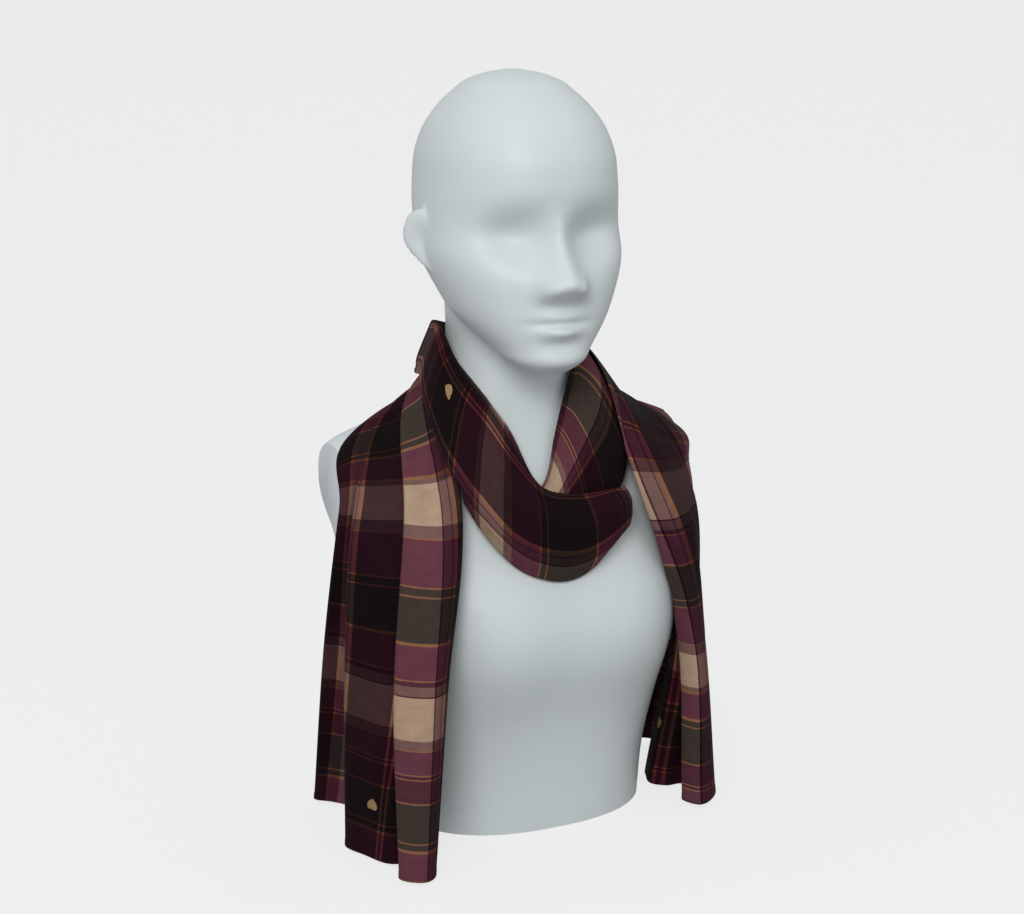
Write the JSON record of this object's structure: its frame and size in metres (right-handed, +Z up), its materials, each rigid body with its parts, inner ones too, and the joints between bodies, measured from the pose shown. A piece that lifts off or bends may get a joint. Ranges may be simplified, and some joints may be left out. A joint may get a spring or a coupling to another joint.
{
  "type": "silk scarf on a limbless display bust",
  "caption": "Long plaid scarf wound once round the neck of a limbless display bust, looped in front, with both ends hanging over the shoulders.",
  "frame": {"origin": "middle of the bust's flat base, on the surface that it stands on", "axes": "+Z up, the bust faces -Y, and its own right side is at -X"},
  "size_m": [0.333, 0.237, 0.5945],
  "materials": {
    "bust": "smooth pale grey satin",
    "scarf": "matte plaid in dark plum, black green, mauve and cream with thin rust lines"
  },
  "bodies": {
    "root": {"bust": "bust", "nape_inner": "scarf", "nape_outer": "scarf", "loop_left_band": "scarf", "loop_right_band": "scarf", "tail_left": "scarf", "tail_right": "scarf"}
  },
  "joints": []
}
